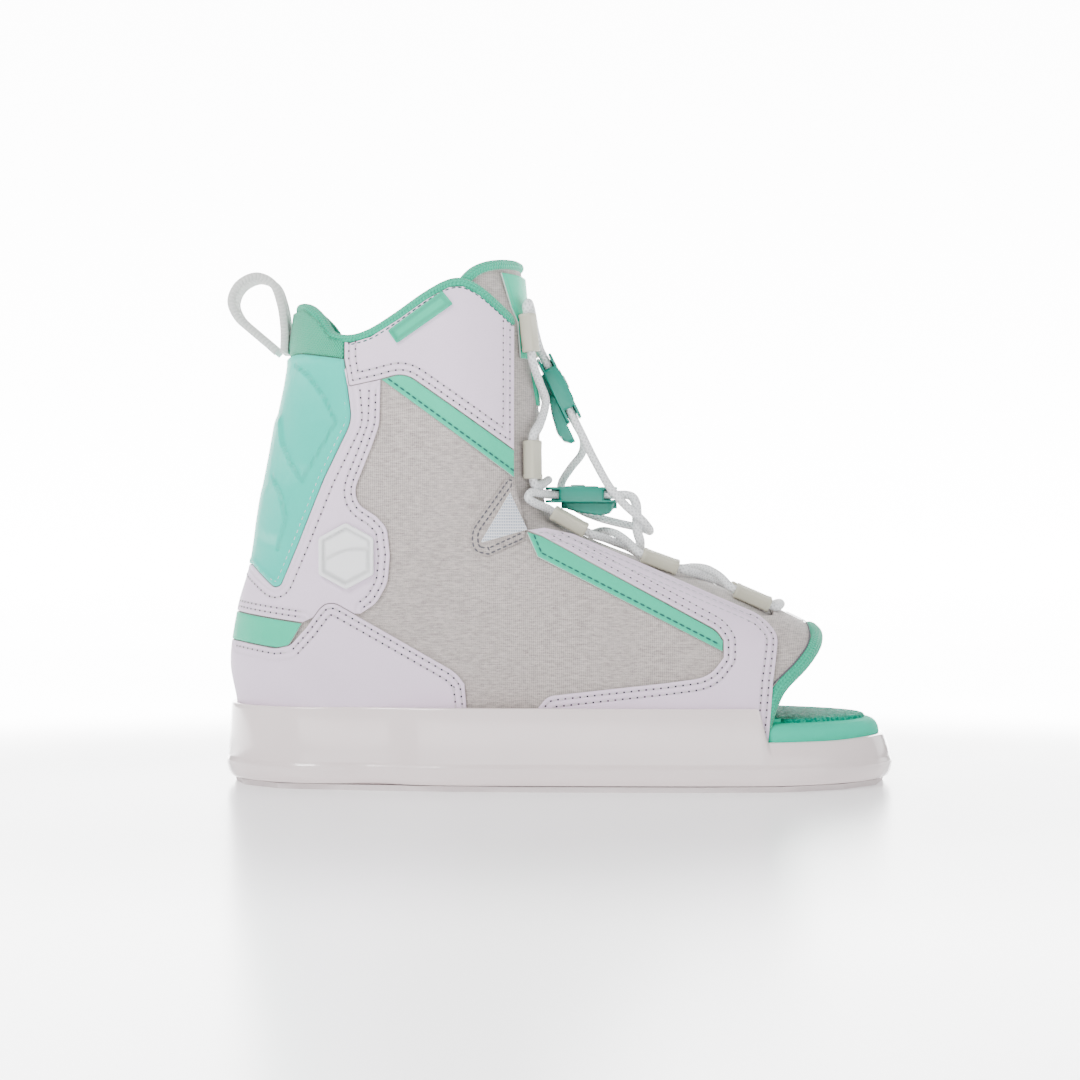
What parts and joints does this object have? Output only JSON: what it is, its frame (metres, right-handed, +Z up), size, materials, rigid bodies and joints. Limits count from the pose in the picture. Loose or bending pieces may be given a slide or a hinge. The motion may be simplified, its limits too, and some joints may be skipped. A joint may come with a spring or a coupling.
{
  "type": "wakeboard boot",
  "caption": "Open-toe wakeboard binding boot with laced cuff, sliding cord locks, heel pull loop and a moulded base plate.",
  "frame": {"origin": "middle of the sole on the board", "axes": "+X towards the toe, +Y towards the right side, +Z up the shaft"},
  "size_m": [0.3, 0.1088, 0.2328],
  "materials": {
    "base_plastic": "glossy pearl",
    "bottom_foam": "matte foam",
    "footbed_foam": "matte foam",
    "grip_foam": "pebbled",
    "plate_metal": "brushed",
    "knit_fabric": "knit",
    "heather_fabric": "heather weave",
    "mesh_fabric": "open mesh",
    "lilac_panel": "satin synthetic leather",
    "mint_panel": "satin synthetic leather",
    "heel_rubber": "satin moulded",
    "badge_plastic": "satin pearl",
    "guide_webbing": "matte coated webbing",
    "lock_plastic": "satin moulded",
    "lace_cord": "braided",
    "loop_webbing": "woven webbing"
  },
  "bodies": {
    "boot": {"base": "base_plastic", "bottom_pad": "bottom_foam", "footbed": "footbed_foam", "toe_grip": "grip_foam", "mounting_plate_rear": "plate_metal", "mounting_plate_front": "plate_metal", "liner_left": "knit_fabric", "liner_right": "knit_fabric", "quarter_left": "heather_fabric", "quarter_right": "heather_fabric", "toe_fabric": "heather_fabric", "vamp_panel_left": "lilac_panel", "vamp_panel_right": "lilac_panel", "vamp_strip_left": "mint_panel", "vamp_strip_right": "mint_panel", "ankle_mesh_left": "mesh_fabric", "ankle_mesh_right": "mesh_fabric", "cuff_panel_left": "lilac_panel", "cuff_panel_right": "lilac_panel", "cuff_strip_left": "mint_panel", "cuff_strip_right": "mint_panel", "heel_shell": "heel_rubber", "heel_counter": "lilac_panel", "heel_band": "mint_panel", "heel_saddle": "lilac_panel", "heel_tab": "knit_fabric", "collar_binding": "knit_fabric", "toe_binding": "knit_fabric", "tongue": "heather_fabric", "tongue_binding": "knit_fabric", "tongue_strip": "mint_panel", "tongue_tab": "mint_panel", "cuff_label_left": "mint_panel", "cuff_label_right": "mint_panel", "ankle_badge_left": "badge_plastic", "ankle_badge_right": "badge_plastic", "lace_guide_collar_left": "guide_webbing", "lace_guide_collar_right": "guide_webbing", "lace_guide_shin_left": "guide_webbing", "lace_guide_shin_right": "guide_webbing", "lace_guide_ankle_left": "guide_webbing", "lace_guide_ankle_right": "guide_webbing", "lace_guide_instep_left": "guide_webbing", "lace_guide_instep_right": "guide_webbing", "lace_guide_toe_left": "guide_webbing", "lace_guide_toe_right": "guide_webbing", "lace_upper": "lace_cord", "lace_lower": "lace_cord"},
    "upper_lock": {"cord_lock_upper": "lock_plastic"},
    "upper_catch": {"lock_catch_upper": "lock_plastic"},
    "lower_lock": {"cord_lock_lower": "lock_plastic"},
    "lower_catch": {"lock_catch_lower": "lock_plastic"},
    "heel_loop": {"pull_loop": "loop_webbing"}
  },
  "joints": [
    {"name": "upper_lock_slide", "type": "slide", "parent": "boot", "child": "upper_lock", "axis": [0.44, 0, -0.898], "range_m": [0, 0.006]},
    {"name": "upper_catch_slide", "type": "slide", "parent": "upper_lock", "child": "upper_catch", "axis": [0.44, 0, -0.898], "range_m": [0, 0.0035]},
    {"name": "lower_lock_slide", "type": "slide", "parent": "boot", "child": "lower_lock", "axis": [1, 0, 0], "range_m": [0, 0.004]},
    {"name": "lower_catch_slide", "type": "slide", "parent": "lower_lock", "child": "lower_catch", "axis": [1, 0, 0], "range_m": [0, 0.0097]},
    {"name": "pull_loop_swing", "type": "hinge", "parent": "boot", "child": "heel_loop", "pos_m": [-0.125, 0, 0.193], "axis": [0, 1, 0], "range_deg": [-35, 0]}
  ]
}
